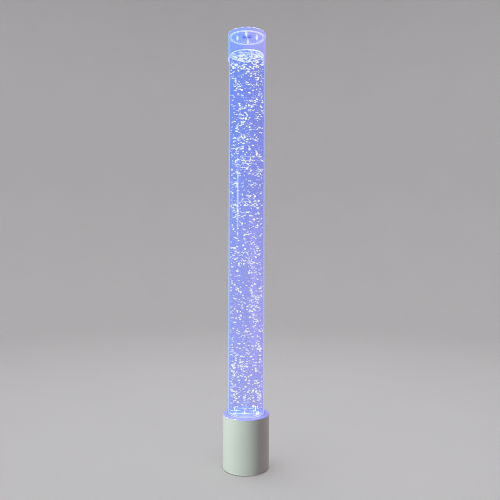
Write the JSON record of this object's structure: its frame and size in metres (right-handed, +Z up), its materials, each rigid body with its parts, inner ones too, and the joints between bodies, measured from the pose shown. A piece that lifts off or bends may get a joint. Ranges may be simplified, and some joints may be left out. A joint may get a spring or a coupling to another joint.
{
  "type": "bubble tube floor lamp",
  "caption": "Floor-standing bubble tube lamp: a clear water-filled tube with a lift-off vented cap on a round white base that holds lights, air pump and controls.",
  "frame": {"origin": "centre of the foot ring's lower face, where the tube's axis meets the floor", "axes": "+Z up along the tube's axis; the power inlet and the button face +Y; the front is -Y"},
  "size_m": [0.128, 0.1282, 1.2],
  "materials": {
    "base_white": "satin",
    "cover_white": "matte",
    "foot_rubber": "matte",
    "screw_steel": "satin",
    "ballast_steel": "satin",
    "cradle_plastic": "matte",
    "silicone": "satin",
    "tube_clear": "gloss",
    "floor_clear": "gloss",
    "cap_clear": "gloss",
    "water": "gloss",
    "nozzle_white": "gloss",
    "light_board_white": "satin",
    "light_chip": "gloss",
    "lens_clear": "gloss",
    "pump_black": "satin",
    "core_steel": "matte",
    "bobbin_white": "satin",
    "copper": "gloss",
    "lever_metal": "satin",
    "bush_brass": "satin",
    "pin_steel": "polished",
    "magnet_dark": "satin",
    "pump_rubber": "matte",
    "valve_plastic": "gloss",
    "board_green": "gloss",
    "board_parts": "satin",
    "inlet_black": "satin",
    "button_grey": "satin",
    "lead_white": "satin"
  },
  "bodies": {
    "base": {"base_housing": "base_white", "bottom_cover": "cover_white", "foot_ring": "foot_rubber", "cover_screws": "screw_steel", "ballast_plate": "ballast_steel", "ballast_screws": "screw_steel", "tube_cradle": "cradle_plastic", "cradle_screws": "screw_steel", "tube_gasket": "silicone", "clear_tube": "tube_clear", "tube_floor_disc": "floor_clear", "water_column": "water", "air_nozzle": "nozzle_white", "nozzle_washer": "silicone", "nozzle_nut": "nozzle_white", "diffuser_head": "nozzle_white", "led_board": "light_board_white", "led_chips": "light_chip", "led_lenses": "lens_clear", "led_board_screws": "screw_steel", "pump_frame": "pump_black", "pump_mounts": "pump_rubber", "pump_screws": "screw_steel", "pump_core": "core_steel", "coil_bobbin": "bobbin_white", "coil_winding": "copper", "pivot_pin": "pin_steel", "valve_block": "pump_black", "pump_diaphragm": "pump_rubber", "diaphragm_ring": "pump_black", "air_hose_lower": "silicone", "check_valve_base": "valve_plastic", "check_valve_top": "valve_plastic", "air_hose_upper": "silicone", "control_board": "board_green", "board_parts": "board_parts", "dc_jack": "inlet_black", "tact_switch": "inlet_black", "led_lead": "lead_white", "pump_lead": "lead_white"},
    "cap": {"cap_sleeve": "cap_clear", "cap_disc": "cap_clear"},
    "button": {"mode_button": "button_grey", "switch_plunger": "button_grey"},
    "lever": {"pump_lever": "lever_metal", "lever_bush": "bush_brass", "lever_magnet": "magnet_dark", "hub_screw": "screw_steel"},
    "valve_disc": {"check_valve_disc": "pump_rubber"}
  },
  "joints": [
    {"name": "cap_lift", "type": "slide", "parent": "base", "child": "cap", "axis": [0, 0, 1], "range_m": [0, 0.09]},
    {"name": "button_press", "type": "slide", "parent": "base", "child": "button", "axis": [0, -1, 0], "range_m": [0, 0.0009], "stiffness_N_per_m": 1500},
    {"name": "lever_rock", "type": "hinge", "parent": "base", "child": "lever", "pos_m": [-0.02, 0.003, 0.0452], "axis": [0, 1, 0], "range_deg": [-1.2, 1.2], "stiffness_Nm_per_rad": 1, "deforming": ["pump_diaphragm"]},
    {"name": "valve_disc_lift", "type": "slide", "parent": "base", "child": "valve_disc", "axis": [0, 0, 1], "range_m": [0, 0.0015]}
  ]
}
